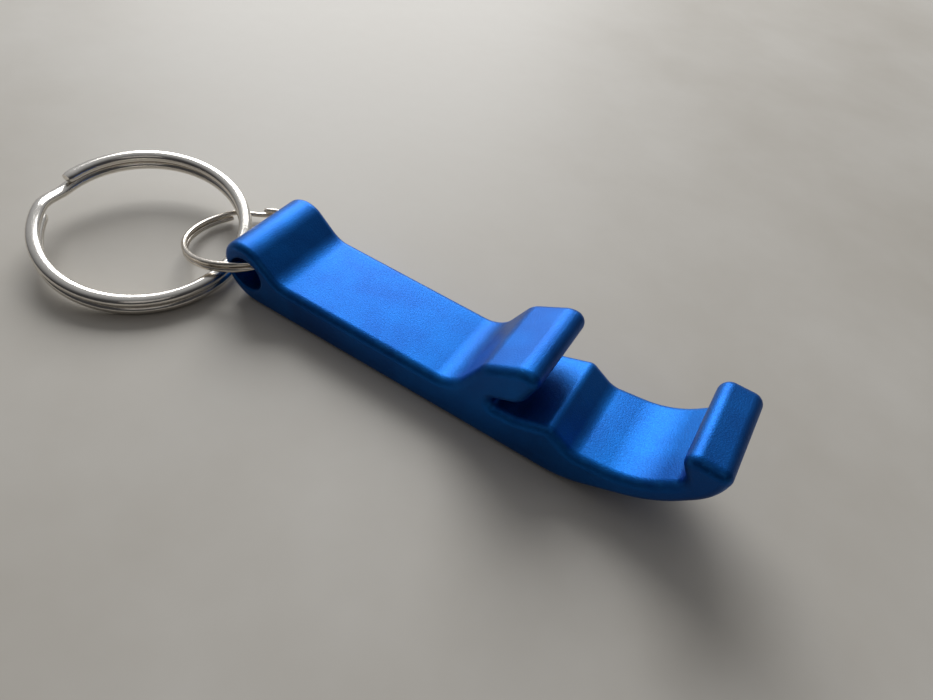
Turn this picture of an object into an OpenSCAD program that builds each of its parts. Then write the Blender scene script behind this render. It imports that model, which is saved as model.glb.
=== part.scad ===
// Keychain bottle opener: a one-piece extruded claw with tumbled edges, a small
// split ring through its end boss and a larger split ring for the keys.
// Millimetres, +Z up. X runs from the ring end to the hook end, Y across the width.
// The origin is on the flat underside, in the middle of the width, datum_x from the
// boss end, so that it lies well inside the flat.

/* [Body] */
// Overall length, boss end to hook
body_len = 60.4; // [60.4:0.2:63]
// Width, the length of the extrusion slice
body_w = 12; // [11.8:0.1:12.2]
// Thickness of the straight bar
bar_t = 4.8; // [4.4:0.1:5.4]
// Height of the boss that carries the bore
boss_h = 8.1; // [7.8:0.1:9]
// Height of the prying tongue
tongue_h = 12.5; // [12:0.1:13.5]
// Height of the hook's pad
hook_h = 13.5; // [13:0.1:15]
// Radius of the tumbled edges along both side faces
edge_r = 0.6; // [0.4:0.05:0.6]

/* [Bore] */
// Diameter of the cross bore for the link ring
bore_d = 4.4; // [4.4:0.05:4.5]
// Distance of the bore from the boss end
bore_x = 3.35; // [3.35:0.05:3.6]
// Height of the bore above the underside
bore_z = 4.1; // [4:0.1:4.3]

/* [Link ring] */
// Mean diameter of the small split ring
link_d = 15; // [15:0.05:15.05]
// Radial width of its wire
link_wire_w = 0.8; // [0.7:0.05:0.8]
// Height of its wire along the ring's axis
link_wire_h = 0.7; // [0.6:0.05:0.7]

/* [Key ring] */
// Mean diameter of the large split ring
key_d = 24.2; // [24:0.1:24.4]
// Radial width of its wire
key_wire_w = 1.6; // [1.4:0.1:1.6]
// Height of its wire along the ring's axis
key_wire_h = 1.25; // [1.1:0.05:1.3]

/* [Hidden] */

half_w = body_w / 2;
turn_gap = 0.06;      // air between the two turns of a split ring
arc_step = 9;         // degrees between points on a fillet
edge_steps = 4;       // layers in each tumbled edge
mouth_r = 0.45;       // rounding of the bore's mouths
mouth_steps = 3;
datum_x = 25;         // the boss end to the origin

// Where the link ring lies at rest, about the bore axis
link_droop = 12.7;    // degrees its outer end hangs below the bore
link_lift = 6.6;      // degrees its near side is lifted
link_reach = 5.8;     // bore axis to ring centre
link_end = 150;       // where its wire ends, degrees round it from +X

// Where the key ring lies at rest, its centre measured from the boss end
key_centre = [-12.9, -6.6, 3.05];
key_pitch = 5;        // degrees its far side is lifted
key_bank = 6.7;       // degrees its outer side is lifted
key_end = 211;        // where its wire ends, degrees round it from +X

// Wire of the split rings
wire_gap = 4;         // degrees left open between a wire end and the climb
wire_square = 0.7;    // 1 is an ellipse, lower is squarer
link_sides = 10;      // points round each wire's section
link_step = 7.5;      // degrees between sections along the wire
link_climb = 30;      // degrees over which the wire climbs to the next turn
key_sides = 12;
key_step = 6;
key_climb = 24;

bore_facets = 48;     // a multiple of 4
sliver = 0.0001;      // least doubled area of a triangle in a side face

// Side outline, counter-clockwise from the boss end of the underside.
// Each corner is [x, z, fillet radius].
hook_x = body_len;
outline = [
    [0, 0, 4.4],                              // boss, lower corner
    [hook_x - 13.9, 0, 11],                   // underside starts to rise
    [hook_x - 4.6, 4.5, 14],
    [hook_x - 0.5, 9.6, 7],                   // back of the hook
    [hook_x, hook_h, 1.3],                    // pad, outer corner
    [hook_x - 4.7, hook_h, 1.3],              // pad, lip
    [hook_x - 4.7, hook_h - 1.7, 1.2],
    [hook_x - 3.5, hook_h - 3.8, 1.4],        // undercut behind the cap's rim
    [hook_x - 7.4, 5.7, 9],                   // bowl
    [46.5, bar_t, 2.2],
    [43.5, 6.7, 1.05],                        // ridge between bowl and slot
    [39.6, 5.2, 4],                           // floor of the slot
    [36.8, 5.02, 0.6],
    [36.8, 6.3, 0.6],                         // blind end of the slot
    [39.9, 7.7, 2.4],                         // underside of the tongue
    [41.6, tongue_h, 1.3],                    // tongue tip
    [39, tongue_h, 2.5],
    [34.9, tongue_h - 2.3, 2.4],              // shoulder of the tongue
    [31.9, bar_t, 4],                         // bar meets the tongue
    [8, bar_t, 3.2],                          // bar meets the boss
    [4.3, boss_h, 3.2],                       // boss, top
    [0, boss_h, 3]
];

function unit(v) = v / norm(v);
function wrap(i, n) = (i + n) % n;
function turn(a, b) = atan2(a[0] * b[1] - a[1] * b[0], a * b);

// Points round one filleted corner, each as [point, outward normal]
function fillet(p, i) =
    let (n = len(p),
         here = [p[i][0], p[i][1]],
         before = [p[wrap(i - 1, n)][0], p[wrap(i - 1, n)][1]],
         after = [p[wrap(i + 1, n)][0], p[wrap(i + 1, n)][1]],
         a = unit(here - before),
         b = unit(after - here),
         bend = turn(a, b),
         side = sign(bend),
         r = p[i][2],
         centre = here - a * r * abs(tan(bend / 2)) + side * r * [-a[1], a[0]],
         steps = max(2, ceil(abs(bend) / arc_step)),
         start = atan2(a[1], a[0]))
    [for (k = [0:steps])
        let (t = start + bend * k / steps, out = [sin(t), -cos(t)])
        [centre + side * r * out, out]];

rim = [for (i = [0:len(outline) - 1]) each fillet(outline, i)];

// The rim at one layer: set in by depth, at height y across the width
function layer(depth, y) = [for (q = rim) [q[0][0] - depth * q[1][0], y, q[0][1] - depth * q[1][1]]];

// Layers from the near side face to the far one
edge_layers = [for (k = [0:edge_steps])
    let (t = 90 * k / edge_steps) [edge_r * (1 - sin(t)), half_w - edge_r + edge_r * cos(t)]];
layers = concat([for (e = edge_layers) [e[0], -e[1]]],
                [for (k = [edge_steps:-1:0]) [edge_layers[k][0], edge_layers[k][1]]]);

// Skin over equal rings of points, closed at both ends
module skin(rings) {
    n = len(rings[0]);
    last = len(rings) - 1;
    points = [for (r = rings) each r];
    sides = [for (j = [0:last - 1], i = [0:n - 1])
        [j * n + i, j * n + (i + 1) % n, (j + 1) * n + (i + 1) % n, (j + 1) * n + i]];
    first_cap = [for (i = [n - 1:-1:0]) i];
    last_cap = [for (i = [0:n - 1]) last * n + i];
    polyhedron(points, concat(sides, [first_cap, last_cap]), convexity = 10);
}

// Bore rings from the near mouth to the far one, each [height across the width, radius]
mouth_curve = [for (k = [mouth_steps:-1:0])
    let (t = 90 * k / mouth_steps) [half_w - mouth_r * (1 - sin(t)), bore_d / 2 + mouth_r * (1 - cos(t))]];
bore_rings = concat([for (c = mouth_curve) [-c[0], c[1]]],
                    [for (k = [mouth_steps:-1:0]) mouth_curve[k]]);

function bore_ring(y, r) =
    [for (k = [0:bore_facets - 1])
        let (t = 360 * k / bore_facets) [bore_x + r * cos(t), y, bore_z + r * sin(t)]];

// Cuts a simple counter-clockwise polygon into triangles by clipping its ears.
// p holds the points, and v the polygon's corners as indices into p.
function area2(a, b, c) = (b[0] - a[0]) * (c[1] - a[1]) - (b[1] - a[1]) * (c[0] - a[0]);
function holds(a, b, c, q) = area2(a, b, q) >= 0 && area2(b, c, q) >= 0 && area2(c, a, q) >= 0;
function is_ear(p, v, i) =
    let (n = len(v), a = v[wrap(i - 1, n)], b = v[i], c = v[wrap(i + 1, n)])
    area2(p[a], p[b], p[c]) > sliver
    && len([for (j = v) if (j != a && j != b && j != c && holds(p[a], p[b], p[c], p[j])) j]) == 0;
function ear(p, v, i) = is_ear(p, v, i) ? i : ear(p, v, wrap(i + 1, len(v)));
function triangles(p, v, i = 0, done = []) =
    len(v) < 4
        ? concat(done, [v])
        : let (n = len(v), e = ear(p, v, i % n))
          triangles(p, [for (k = [0:n - 1]) if (k != e) v[k]], e + 1,
                    concat(done, [[v[wrap(e - 1, n)], v[e], v[wrap(e + 1, n)]]]));

// One slice of the extrusion with its cross bore. Each side face is two polygons,
// which meet between the bore and the boss's lower corner.
module slice() {
    n = len(rim);
    m = bore_facets;
    last = len(layers) - 1;
    bore_start = n * (last + 1);
    bore_end = bore_start + m * (len(bore_rings) - 1);
    points = concat([for (l = layers) each layer(l[0], l[1])],
                    [for (b = bore_rings) each bore_ring(b[0], b[1])]);
    outside = [for (j = [0:last - 1], i = [0:n - 1])
        [j * n + i, j * n + (i + 1) % n, (j + 1) * n + (i + 1) % n, (j + 1) * n + i]];
    wall = [for (j = [0:len(bore_rings) - 2], k = [0:m - 1])
        let (a = bore_start + j * m) [a + k, a + m + k, a + m + (k + 1) % m, a + (k + 1) % m]];
    corner = len(fillet(outline, 0)) - 1;
    west = m / 2;
    south = west + m / 4;
    flat = [for (q = concat(layer(edge_r, 0), bore_ring(0, bore_d / 2 + mouth_r))) [q[0], q[2]]];
    side = concat(
        triangles(flat, concat([for (i = [0:corner]) i], [for (k = [south:-1:west]) n + k])),
        triangles(flat, concat([for (i = [corner:n - 1]) i], [0],
                               [for (k = [west:-1:south - m]) n + (k + m) % m])));
    near_side = [for (f = side) [for (q = [f[2], f[1], f[0]]) q < n ? q : bore_start + q - n]];
    far_side = [for (f = side) [for (q = f) q < n ? last * n + q : bore_end + q - n]];
    polyhedron(points, concat(outside, wall, near_side, far_side), convexity = 10);
}

module opener_body() {
    color("royalblue") translate([-datum_x, 0, 0]) slice();
}

// Rounded wire section, one point: across is radial, along is the ring's axis
function section_point(w, h, a) =
    [w / 2 * sign(cos(a)) * pow(abs(cos(a)), wire_square), h / 2 * sign(sin(a)) * pow(abs(sin(a)), wire_square)];

// Two-turn split ring in its own plane, axis +Z. The wire climbs from the lower
// turn to the upper one over the last `climb` degrees of the first turn.
module split_ring(mean_d, w, h, sides, step, climb) {
    pitch = h + turn_gap;
    sweep = 720 - climb - wire_gap;
    count = ceil(sweep / step);
    skin([for (k = [0:count])
        let (a = sweep * k / count,
             up = max(0, min(1, (a - 360 + climb) / climb)),
             lift = pitch * (up * up * (3 - 2 * up) - 0.5))
        [for (s = [0:sides - 1])
            let (q = section_point(w, h, 360 * s / sides))
            [(mean_d / 2 + q[0]) * cos(a), (mean_d / 2 + q[0]) * sin(a), lift + q[1]]]]);
}

module link_ring() {
    color("silver") translate([bore_x - datum_x, 0, bore_z]) rotate([0, -link_droop, 0])
        rotate([-link_lift, 0, 0]) translate([-link_reach, 0, 0]) rotate([0, 0, link_end])
            split_ring(link_d, link_wire_w, link_wire_h, link_sides, link_step, link_climb);
}

module key_ring() {
    color("gainsboro") translate([-datum_x, 0, 0] + key_centre) rotate([key_pitch, 0, 0])
        rotate([0, key_bank, 0]) rotate([0, 0, key_end])
            split_ring(key_d, key_wire_w, key_wire_h, key_sides, key_step, key_climb);
}

opener_body();
link_ring();
key_ring();
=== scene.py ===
"""Keychain bottle opener: blue anodised claw with two nickel plated split rings.

Lengths are in metres in the CAD frame: +X towards the hook, +Y across the width, +Z up.
"""
import math

import bpy
from mathutils import Matrix, Vector


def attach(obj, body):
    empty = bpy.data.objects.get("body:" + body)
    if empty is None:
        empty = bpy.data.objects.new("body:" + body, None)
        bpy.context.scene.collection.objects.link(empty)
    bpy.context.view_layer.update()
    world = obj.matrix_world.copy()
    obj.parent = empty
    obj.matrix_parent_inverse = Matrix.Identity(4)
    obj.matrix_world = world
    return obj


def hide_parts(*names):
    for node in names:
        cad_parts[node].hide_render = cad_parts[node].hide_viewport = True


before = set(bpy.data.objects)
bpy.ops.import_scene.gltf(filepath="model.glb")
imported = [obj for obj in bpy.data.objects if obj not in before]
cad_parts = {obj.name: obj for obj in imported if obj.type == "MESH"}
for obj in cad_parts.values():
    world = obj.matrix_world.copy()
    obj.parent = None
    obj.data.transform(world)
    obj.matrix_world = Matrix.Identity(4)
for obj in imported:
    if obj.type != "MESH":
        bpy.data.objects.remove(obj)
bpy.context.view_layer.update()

MM = 0.001
DATUM = 25.0  # boss end to the origin

# ---------------------------------------------------------------- sizes, in mm
HALF_W = 6.0
EDGE_R = 1.08  # tumbled side edges
BOSS_EDGE_R = 0.85  # the same where the bore leaves less metal
BORE = (3.35, 4.1)
BORE_R = 2.2
MOUTH_R = 0.27
EDGE_EASE = (6.5, 4.0)  # where the edge radius starts to grow, and over what length
LENGTH = 60.4
BAR = 4.8
BOSS = 8.1
TONGUE = 12.5
HOOK = 13.5

# Rings: mean diameter, wire width, wire height, gap between turns, climb in degrees, and
# how round the wire is, where 1 is an ellipse and less is squarer
LINK_WIRE = (15.0, 0.72, 0.64, 0.05, 30, 0.95)
KEY_WIRE = (24.2, 1.6, 1.25, 0.04, 24, 0.9)
WIRE_GAP = 3  # degrees left open at the wire's end
WIRE_TAPER = (0.82, 0.95)  # size of the last two sections at each cut end

# Where the rings lie, angles in degrees
LINK_DROOP = 12.7
LINK_LIFT = 6.6
LINK_REACH = 5.8  # from the bore to the ring's centre
LINK_END = 150
KEY_CENTRE = (-12.9, -6.6, 3.05)
KEY_PITCH = 5
KEY_BANK = 6.7
KEY_END = 211

# Mesh fineness
FILLET_STEP = 3.0  # degrees
EDGE_STEPS = 10
BORE_SIDES = 96
MOUTH_STEPS = 6
WIRE_SIDES = 28
WIRE_STEP = 2.0  # degrees
SLIVER = 1e-6  # stands for 0 across, with the sign that says which side a rim is on
RING_SHARP = 48  # degrees; only the cut ends of a wire are sharper

# Side outline, counter-clockwise from the boss end: x, z, fillet radius
OUTLINE = [
    (0, 0, 4.4),
    (LENGTH - 13.9, 0, 11),
    (LENGTH - 4.6, 4.5, 14),
    (LENGTH - 0.5, 9.6, 7),
    (LENGTH, HOOK, 1.3),
    (LENGTH - 4.7, HOOK, 1.3),
    (LENGTH - 4.7, HOOK - 1.7, 1.2),
    (LENGTH - 3.5, HOOK - 3.8, 1.4),
    (LENGTH - 7.4, 5.7, 9),
    (46.5, BAR, 2.2),
    (43.5, 6.7, 1.12),
    (39.6, 5.2, 4),
    (36.8, 5.02, 0.6),
    (36.8, 6.3, 0.6),
    (39.9, 7.7, 2.4),
    (41.6, TONGUE, 1.3),
    (39, TONGUE, 2.5),
    (34.9, TONGUE - 2.3, 2.4),
    (31.9, BAR, 4),
    (8, BAR, 3.2),
    (4.3, BOSS, 3.2),
    (0, BOSS, 3),
]


# ---------------------------------------------------------------- mesh helpers
def eased(t):
    """Smooth step from 0 to 1, held outside that range."""
    t = max(0.0, min(1.0, t))
    return t * t * (3 - 2 * t)


def new_mesh(name, points, faces, sharp_deg=None, normals=None):
    """A smooth shaded object. Its normals are given, or edges over sharp_deg stay crisp."""
    mesh = bpy.data.meshes.new(name)
    mesh.from_pydata([Vector(p) * MM for p in points], [], [f[::-1] for f in faces])
    mesh.validate()
    for polygon in mesh.polygons:
        polygon.use_smooth = True
    if normals:
        mesh.normals_split_custom_set_from_vertices(normals)
    else:
        mesh.set_sharp_from_angle(angle=math.radians(sharp_deg))
    obj = bpy.data.objects.new(name, mesh)
    bpy.context.scene.collection.objects.link(obj)
    return obj


def fillet(corners, i, step):
    """Points round one corner with their outward normals."""
    here = Vector(corners[i][:2])
    a = (here - Vector(corners[i - 1][:2])).normalized()
    b = (Vector(corners[(i + 1) % len(corners)][:2]) - here).normalized()
    bend = math.atan2(a.x * b.y - a.y * b.x, a.dot(b))
    side = math.copysign(1, bend)
    r = corners[i][2]
    centre = here - a * r * abs(math.tan(bend / 2)) + Vector((-a.y, a.x)) * side * r
    start = math.atan2(a.y, a.x)
    steps = max(3, math.ceil(abs(bend) / math.radians(step)))
    found = []
    for k in range(steps + 1):
        t = start + bend * k / steps
        out = Vector((math.sin(t), -math.cos(t)))
        found.append((centre + out * side * r, out))
    return found


def edge_radius(x):
    """Radius of the tumbled edge at x from the boss end."""
    start, length = EDGE_EASE
    return BOSS_EDGE_R + (EDGE_R - BOSS_EDGE_R) * eased((x - start) / length)


def slice_mesh():
    """The opener: tumbled slice of the extrusion with its cross bore."""
    rim = [q for i in range(len(OUTLINE)) for q in fillet(OUTLINE, i, FILLET_STEP)]
    n = len(rim)
    layers = []
    for k in range(EDGE_STEPS + 1):
        t = math.pi / 2 * k / EDGE_STEPS
        layers.append((math.sin(t), max(math.cos(t), SLIVER)))
    layers = [(s, -c) for s, c in layers] + [(s, c) for s, c in reversed(layers)]
    points = []
    normals = []
    for outward, across in layers:
        for p, out in rim:
            r = edge_radius(p.x)
            q = p - out * r * (1 - outward)
            points.append((q.x - DATUM, math.copysign(HALF_W - r, across) + r * across, q.y))
            normals.append((out.x * outward, across, out.y * outward))
    last = len(layers) - 1
    faces = []
    for j in range(last):
        for i in range(n):
            k = (i + 1) % n
            faces.append((j * n + i, j * n + k, (j + 1) * n + k, (j + 1) * n + i))

    # Bore, with rolled mouths
    m = BORE_SIDES
    mouth = []
    for k in range(MOUTH_STEPS, -1, -1):
        t = math.pi / 2 * k / MOUTH_STEPS
        mouth.append((1, math.sin(t), math.cos(t)))
    rings = [(-1, s, c) for _, s, c in mouth] + list(reversed(mouth))
    first = len(points)
    for hand, s, c in rings:
        y = hand * (HALF_W - MOUTH_R * (1 - s))
        r = BORE_R + MOUTH_R * (1 - c)
        for k in range(m):
            x = math.cos(2 * math.pi * k / m)
            z = math.sin(2 * math.pi * k / m)
            points.append((BORE[0] + r * x - DATUM, y, BORE[1] + r * z))
            normals.append((-x * c, hand * s, -z * c))
    for j in range(len(rings) - 1):
        for k in range(m):
            a = first + j * m
            b = (k + 1) % m
            faces.append((a + k, a + m + k, a + m + b, a + b))

    # Each side face is two polygons that meet beside the bore
    corner = len(fillet(OUTLINE, 0, FILLET_STEP)) - 1
    west = m // 2
    south = west + m // 4
    far_bore = first + m * (len(rings) - 1)
    for rim0, bore0, back in ((0, first, True), (last * n, far_bore, False)):
        small = [rim0 + i for i in range(corner + 1)]
        small += [bore0 + k for k in range(south, west - 1, -1)]
        large = [rim0 + i for i in range(corner, n)] + [rim0]
        large += [bore0 + k % m for k in range(west, south - m - 1, -1)]
        for loop in (small, large):
            faces.append(tuple(reversed(loop)) if back else tuple(loop))
    return new_mesh("opener_visual", points, faces, normals=normals)


def power(value, exponent):
    """The size of value to a power, with value's own sign."""
    return math.copysign(abs(value) ** exponent, value)


def ring_mesh(name, mean_d, wire_w, wire_h, gap, climb, square, place):
    """Two-turn split ring, axis +Z before it is placed; its wire climbs just before angle 0."""
    sides = WIRE_SIDES
    sweep = 720 - climb - WIRE_GAP
    count = math.ceil(sweep / WIRE_STEP)
    points = []
    for k in range(count + 1):
        a = sweep * k / count
        lift = (wire_h + gap) * (eased((a - 360 + climb) / climb) - 0.5)
        end = min(k, count - k)
        shrink = WIRE_TAPER[end] if end < len(WIRE_TAPER) else 1.0
        for s in range(sides):
            t = 2 * math.pi * s / sides
            across = wire_w / 2 * power(math.cos(t), square) * shrink
            along = wire_h / 2 * power(math.sin(t), square) * shrink
            radius = mean_d / 2 + across
            angle = math.radians(a)
            spot = Vector((radius * math.cos(angle), radius * math.sin(angle), lift + along))
            points.append(place @ spot)
    faces = []
    for k in range(count):
        for s in range(sides):
            b = (s + 1) % sides
            c = k * sides
            faces.append((c + s, c + b, c + sides + b, c + sides + s))
    faces.append(tuple(range(sides - 1, -1, -1)))
    faces.append(tuple(count * sides + s for s in range(sides)))
    return new_mesh(name, points, faces, RING_SHARP)


def turned(axis, degrees):
    """A turn about one axis."""
    return Matrix.Rotation(math.radians(degrees), 4, axis)


# ---------------------------------------------------------------- shader helpers
def material(name):
    made = bpy.data.materials.new(name)
    made.use_nodes = True
    tree = made.node_tree
    shader = tree.nodes["Principled BSDF"]
    return made, tree, shader


def node(tree, kind, **settings):
    made = tree.nodes.new(kind)
    for key, value in settings.items():
        if key in made.inputs:
            made.inputs[key].default_value = value
        else:
            setattr(made, key, value)
    return made


def noise(tree, coords, scale, detail=2.0, rough=0.5):
    made = node(tree, "ShaderNodeTexNoise", Scale=scale, Detail=detail, Roughness=rough)
    tree.links.new(coords, made.inputs["Vector"])
    return made.outputs["Fac"]


def remap(tree, value, low, high, to_low, to_high):
    made = tree.nodes.new("ShaderNodeMapRange")
    limits = {"From Min": low, "From Max": high, "To Min": to_low, "To Max": to_high}
    for slot, number in limits.items():
        made.inputs[slot].default_value = number
    tree.links.new(value, made.inputs["Value"])
    return made.outputs["Result"]


def mix(tree, factor, a, b):
    """Colour a where the factor is 0 and b where it is 1."""
    made = tree.nodes.new("ShaderNodeMix")
    made.data_type = "RGBA"
    tree.links.new(factor, made.inputs["Factor"])
    for slot, colour in (("A", a), ("B", b)):
        socket = [s for s in made.inputs if s.name == slot and s.type == "RGBA"][0]
        if isinstance(colour, tuple):
            socket.default_value = (*colour, 1.0)
        else:
            tree.links.new(colour, socket)
    return [s for s in made.outputs if s.type == "RGBA"][0]


def arithmetic(tree, operation, a, b):
    made = node(tree, "ShaderNodeMath", operation=operation)
    for slot, value in enumerate((a, b)):
        if isinstance(value, (int, float)):
            made.inputs[slot].default_value = value
        else:
            tree.links.new(value, made.inputs[slot])
    return made.outputs[0]


def bump(tree, height, strength, distance, normal=None):
    made = node(tree, "ShaderNodeBump", Strength=strength, Distance=distance)
    tree.links.new(height, made.inputs["Height"])
    if normal is not None:
        tree.links.new(normal, made.inputs["Normal"])
    return made.outputs["Normal"]


# ---------------------------------------------------------------- materials
def anodised_blue():
    """Satin blue dye over bead blasted aluminium."""
    made, tree, shader = material("anodised_blue_satin")
    coords = node(tree, "ShaderNodeTexCoord").outputs["Object"]
    link = tree.links.new
    # Bead blast grain of about a tenth of a millimetre, over slow dye variation
    grain = noise(tree, coords, 5200.0, 3.0, 0.65)
    fine = noise(tree, coords, 21000.0, 2.0, 0.5)
    cloud = noise(tree, coords, 120.0, 3.0, 0.55)
    deep = (0.002, 0.066, 0.285)
    bright = (0.003, 0.112, 0.420)
    dye = mix(tree, remap(tree, cloud, 0.35, 0.65, 0.0, 1.0), deep, bright)
    speck = remap(tree, grain, 0.62, 0.78, 0.0, 0.45)
    dye = mix(tree, speck, dye, (0.02, 0.24, 0.72))
    # Tumbled edges along both sides are rubbed a little paler, in metres from the middle
    edge_starts, edge_crest, edge_ends = 0.00505, 0.0056, 0.00598
    split = node(tree, "ShaderNodeSeparateXYZ")
    link(coords, split.inputs["Vector"])
    across = arithmetic(tree, "ABSOLUTE", split.outputs["Y"], 0.0)
    rising = remap(tree, across, edge_starts, edge_crest, 0.0, 1.0)
    falling = remap(tree, across, edge_crest, edge_ends, 1.0, 0.0)
    worn = arithmetic(tree, "MULTIPLY", rising, falling)
    patchy = remap(tree, noise(tree, coords, 700.0, 4.0, 0.7), 0.42, 0.7, 0.0, 1.0)
    worn = arithmetic(tree, "MULTIPLY", worn, patchy)
    dye = mix(tree, arithmetic(tree, "MULTIPLY", worn, 0.35), dye, (0.03, 0.26, 0.70))
    link(dye, shader.inputs["Base Color"])
    shader.inputs["Metallic"].default_value = 0.94
    rough = remap(tree, grain, 0.3, 0.7, 0.40, 0.54)
    rough = arithmetic(tree, "ADD", rough, remap(tree, cloud, 0.3, 0.7, -0.03, 0.03))
    rough = arithmetic(tree, "SUBTRACT", rough, arithmetic(tree, "MULTIPLY", worn, 0.06))
    link(rough, shader.inputs["Roughness"])
    shader.inputs["Coat Weight"].default_value = 0.05
    shader.inputs["Coat Roughness"].default_value = 0.28
    normal = bump(tree, grain, 0.42, 0.00008)
    normal = bump(tree, fine, 0.15, 0.00003, normal)
    link(normal, shader.inputs["Normal"])
    return made


def nickel(name, tone):
    """Nickel plated wire, with a faint haze and drawing marks."""
    made, tree, shader = material(name)
    coords = node(tree, "ShaderNodeTexCoord").outputs["Object"]
    link = tree.links.new
    haze = noise(tree, coords, 260.0, 4.0, 0.6)
    pits = noise(tree, coords, 5200.0, 2.0, 0.5)
    stretch = node(tree, "ShaderNodeMapping")
    stretch.inputs["Scale"].default_value = (1.0, 1.0, 9.0)
    link(coords, stretch.inputs["Vector"])
    scratch = noise(tree, stretch.outputs["Vector"], 1400.0, 5.0, 0.75)
    dull = tuple(c * 0.80 for c in tone)
    tint = mix(tree, remap(tree, haze, 0.4, 0.7, 0.0, 0.8), tone, dull)
    link(tint, shader.inputs["Base Color"])
    shader.inputs["Metallic"].default_value = 1.0
    rough = remap(tree, haze, 0.35, 0.7, 0.10, 0.24)
    rough = arithmetic(tree, "ADD", rough, remap(tree, scratch, 0.5, 0.72, 0.0, 0.09))
    link(rough, shader.inputs["Roughness"])
    normal = bump(tree, scratch, 0.10, 0.00005)
    normal = bump(tree, pits, 0.06, 0.00003, normal)
    link(normal, shader.inputs["Normal"])
    return made


def pale_floor():
    made, tree, shader = material("floor_pale")
    coords = node(tree, "ShaderNodeTexCoord").outputs["Object"]
    cloud = noise(tree, coords, 22.0, 5.0, 0.6)
    dark = (0.52, 0.48, 0.42)
    light = (0.61, 0.575, 0.52)
    dye = mix(tree, remap(tree, cloud, 0.3, 0.7, 0.0, 1.0), dark, light)
    tree.links.new(dye, shader.inputs["Base Color"])
    rough = remap(tree, cloud, 0.3, 0.7, 0.46, 0.54)
    tree.links.new(rough, shader.inputs["Roughness"])
    shader.inputs["Specular IOR Level"].default_value = 0.25
    return made


# ---------------------------------------------------------------- pieces
opener = slice_mesh()
opener.data.materials.append(anodised_blue())
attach(opener, "opener")
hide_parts("opener_body")

link_place = (
    Matrix.Translation((BORE[0] - DATUM, 0, BORE[1]))
    @ turned("Y", -LINK_DROOP)
    @ turned("X", -LINK_LIFT)
    @ Matrix.Translation((-LINK_REACH, 0, 0))
    @ turned("Z", LINK_END)
)
link_ring = ring_mesh("link_ring_visual", *LINK_WIRE, link_place)
link_ring.data.materials.append(nickel("nickel_link", (0.78, 0.72, 0.64)))
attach(link_ring, "link_ring")
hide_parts("link_ring")

key_place = (
    Matrix.Translation((KEY_CENTRE[0] - DATUM, KEY_CENTRE[1], KEY_CENTRE[2]))
    @ turned("X", KEY_PITCH)
    @ turned("Y", KEY_BANK)
    @ turned("Z", KEY_END)
)
key_ring = ring_mesh("key_ring_visual", *KEY_WIRE, key_place)
key_ring.data.materials.append(nickel("nickel_key", (0.80, 0.76, 0.70)))
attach(key_ring, "key_ring")
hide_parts("key_ring")

# ---------------------------------------------------------------- floor
floor_mesh = bpy.data.meshes.new("floor")
reach = 1.2
floor_corners = [(-reach, -reach, 0), (reach, -reach, 0), (reach, reach, 0), (-reach, reach, 0)]
floor_mesh.from_pydata(floor_corners, [], [(0, 1, 2, 3)])
floor = bpy.data.objects.new("floor", floor_mesh)
bpy.context.scene.collection.objects.link(floor)
floor.data.materials.append(pale_floor())


# ---------------------------------------------------------------- light
def area_light(name, place, aim, size, power_w, colour):
    """A rectangular lamp turned towards aim."""
    data = bpy.data.lights.new(name, "AREA")
    data.shape = "RECTANGLE"
    data.size, data.size_y = size
    data.energy = power_w
    data.color = colour
    obj = bpy.data.objects.new(name, data)
    bpy.context.scene.collection.objects.link(obj)
    obj.location = place
    obj.rotation_euler = (Vector(aim) - Vector(place)).to_track_quat("-Z", "Y").to_euler()


area_light("window", (-0.285, 0.363, 0.29), (-0.01, 0.0, 0.0), (0.38, 0.34), 2.75, (0.96, 0.98, 1.0))
area_light("fill", (0.20, -0.30, 0.45), (0.0, 0.0, 0.0), (0.30, 0.30), 0.10, (1.0, 0.97, 0.93))

world = bpy.data.worlds.new("soft_room")
world.use_nodes = True
tree = world.node_tree
sky = tree.nodes["Background"]
coords = node(tree, "ShaderNodeTexCoord").outputs["Generated"]
towards = node(tree, "ShaderNodeVectorMath", operation="DOT_PRODUCT")
towards.inputs[1].default_value = (-0.52, 0.64, 0.56)  # the window's side of the room
tree.links.new(coords, towards.inputs[0])
glow = remap(tree, towards.outputs["Value"], 0.0, 1.0, 0.0, 1.0)
glow = arithmetic(tree, "POWER", glow, 1.3)
tree.links.new(mix(tree, glow, (0.07, 0.07, 0.075), (0.95, 0.97, 1.0)), sky.inputs["Color"])
sky.inputs["Strength"].default_value = 0.55
bpy.context.scene.world = world
bpy.context.scene.view_settings.view_transform = "Standard"

# ---------------------------------------------------------------- camera
camera_data = bpy.data.cameras.new("camera")
camera_data.lens = 26.24
camera_data.sensor_width = 36.0
camera_data.sensor_fit = "HORIZONTAL"
camera_data.clip_start = 0.002
camera_data.clip_end = 10.0
camera = bpy.data.objects.new("camera", camera_data)
bpy.context.scene.collection.objects.link(camera)
right = Vector((0.8445, 0.5192, 0.1316)).normalized()
back = Vector((0.2626, -0.6156, 0.7430)).normalized()
above = back.cross(right).normalized()
turn = Matrix((right, above, back)).transposed().to_4x4()
place = Matrix.Translation((0.02564, -0.04716, 0.06138))
camera.matrix_world = place @ turn
bpy.context.scene.camera = camera

bpy.context.view_layer.update()
